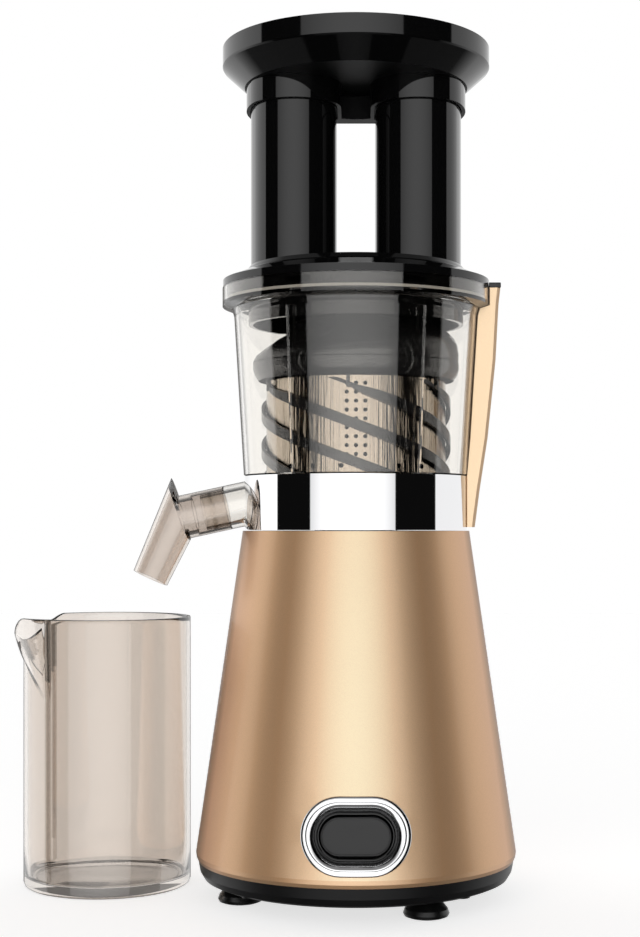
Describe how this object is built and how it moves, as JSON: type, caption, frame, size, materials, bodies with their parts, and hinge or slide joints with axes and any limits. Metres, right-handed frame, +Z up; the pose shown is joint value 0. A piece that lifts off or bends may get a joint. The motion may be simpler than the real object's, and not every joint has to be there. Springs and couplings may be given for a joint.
{
  "type": "cold press juicer",
  "caption": "Upright slow juicer with a tapered base, clear bowl with strainer and auger, lid with twin feed tubes, round hopper tray, side spout and loose juice jug.",
  "frame": {"origin": "on the counter under the juicer's own vertical axis", "axes": "+Z up, front with the switch faces -Y, spout and jug to -X, bowl handle to +X"},
  "size_m": [0.2785, 0.175, 0.459],
  "materials": {
    "champagne_paint": "metallic champagne lacquer, glossy",
    "champagne_plastic": "metallic champagne, satin",
    "black_gloss": "high gloss black",
    "black_satin": "satin black",
    "dark_grey": "satin dark grey",
    "white_plastic": "natural acetal",
    "beige_plastic": "warm beige, slightly see-through",
    "board_green": "lacquered board",
    "clear_tinted": "clear plastic with a light smoke tint",
    "black_rubber": "soft black",
    "grey_rubber": "soft grey silicone",
    "pale_rubber": "soft pale silicone",
    "chrome": "bright chrome plate",
    "steel": "turned steel",
    "stack_steel": "stacked steel sheets",
    "rotor_alloy": "steel stack with cast bars",
    "cast_alloy": "as cast",
    "bronze": "sintered bronze",
    "copper_wire": "lacquered copper wire"
  },
  "bodies": {
    "base": {"housing": "champagne_paint", "base_cover": "black_gloss", "feet": "black_rubber", "cover_screws": "steel", "switch_bezel": "chrome", "switch_body": "black_satin", "top_deck": "black_satin", "deck_screws": "steel", "shaft_seal": "pale_rubber", "gearbox_case": "cast_alloy", "gearbox_cover": "cast_alloy", "gearbox_screws": "steel", "output_bearing": "bronze", "stator": "stack_steel", "windings": "copper_wire", "motor_bearings": "bronze", "motor_bracket": "cast_alloy", "motor_bolts": "steel", "control_board": "board_green", "run_capacitor": "white_plastic", "power_inlet": "black_satin", "inlet_pins": "bronze"},
    "rocker": {"rocker": "black_satin"},
    "drive": {"drive_shaft": "steel", "output_gear": "white_plastic"},
    "counter": {"gear_wheel": "white_plastic", "countershaft": "steel"},
    "motor": {"rotor": "rotor_alloy", "rotor_shaft": "steel", "fan": "black_satin"},
    "bowl": {"bowl": "clear_tinted", "chrome_band": "chrome", "handle": "champagne_plastic", "handle_cap": "black_satin", "bowl_seal": "pale_rubber", "spout_ring": "pale_rubber", "flap_pin": "steel", "flap_ears": "clear_tinted", "strainer": "beige_plastic"},
    "idler": {"idler_gear": "white_plastic"},
    "cage": {"wiper_cage": "dark_grey", "cage_wipers": "grey_rubber"},
    "auger": {"auger": "dark_grey", "auger_socket": "steel"},
    "nozzle": {"nozzle": "clear_tinted"},
    "flap": {"pulp_flap": "grey_rubber"},
    "lid": {"lid": "black_gloss", "lid_gasket": "pale_rubber"},
    "tray": {"hopper_tray": "black_gloss"},
    "pusher_left": {"pusher_left": "black_satin"},
    "pusher_right": {"pusher_right": "black_satin"},
    "jug": {"jug": "clear_tinted"}
  },
  "joints": [
    {"name": "rocker_tip", "type": "hinge", "parent": "base", "child": "rocker", "pos_m": [0, -0.07679, 0.04519], "axis": [0, 0.1441, 0.9896], "range_deg": [-6, 6]},
    {"name": "drive_spin", "type": "hinge", "parent": "base", "child": "drive", "pos_m": [0, 0, 0.15], "axis": [0, 0, 1], "continuous": true},
    {"name": "counter_spin", "type": "hinge", "parent": "base", "child": "counter", "pos_m": [0, 0.03, 0.13], "axis": [0, 0, 1], "continuous": true},
    {"name": "motor_spin", "type": "hinge", "parent": "base", "child": "motor", "pos_m": [0, 0, 0.08], "axis": [0, 0, 1], "continuous": true},
    {"name": "bowl_lift", "type": "slide", "parent": "base", "child": "bowl", "axis": [0, 0, 1], "range_m": [0, 0.06]},
    {"name": "auger_spin", "type": "hinge", "parent": "bowl", "child": "auger", "pos_m": [0, 0, 0.25], "axis": [0, 0, 1], "continuous": true},
    {"name": "idler_spin", "type": "hinge", "parent": "bowl", "child": "idler", "pos_m": [0, -0.0315, 0.218], "axis": [0, 0, 1], "continuous": true},
    {"name": "cage_spin", "type": "hinge", "parent": "bowl", "child": "cage", "pos_m": [0, 0, 0.25], "axis": [0, 0, 1], "continuous": true},
    {"name": "nozzle_pull", "type": "slide", "parent": "bowl", "child": "nozzle", "axis": [-0.977, 0, -0.213], "range_m": [0, 0.02]},
    {"name": "flap_swing", "type": "hinge", "parent": "bowl", "child": "flap", "pos_m": [0, 0.0842, 0.2166], "axis": [1, 0, 0], "range_deg": [0, 70]},
    {"name": "lid_lift", "type": "slide", "parent": "bowl", "child": "lid", "axis": [0, 0, 1], "range_m": [0, 0.06]},
    {"name": "tray_lift", "type": "slide", "parent": "lid", "child": "tray", "axis": [0, 0, 1], "range_m": [0, 0.04]},
    {"name": "pusher_left_slide", "type": "slide", "parent": "tray", "child": "pusher_left", "axis": [0, 0, 1], "range_m": [0, 0.12]},
    {"name": "pusher_right_slide", "type": "slide", "parent": "tray", "child": "pusher_right", "axis": [0, 0, 1], "range_m": [0, 0.12]},
    {"name": "jug_slide", "type": "slide", "parent": "base", "child": "jug", "axis": [-1, 0, 0], "range_m": [0, 0.1]}
  ],
  "couplings": [
    {"joint": "counter_spin", "follows": "drive_spin", "ratio": -4},
    {"joint": "motor_spin", "follows": "drive_spin", "ratio": 21},
    {"joint": "auger_spin", "follows": "drive_spin", "ratio": 1},
    {"joint": "idler_spin", "follows": "drive_spin", "ratio": -1.3333},
    {"joint": "cage_spin", "follows": "drive_spin", "ratio": -0.4}
  ]
}
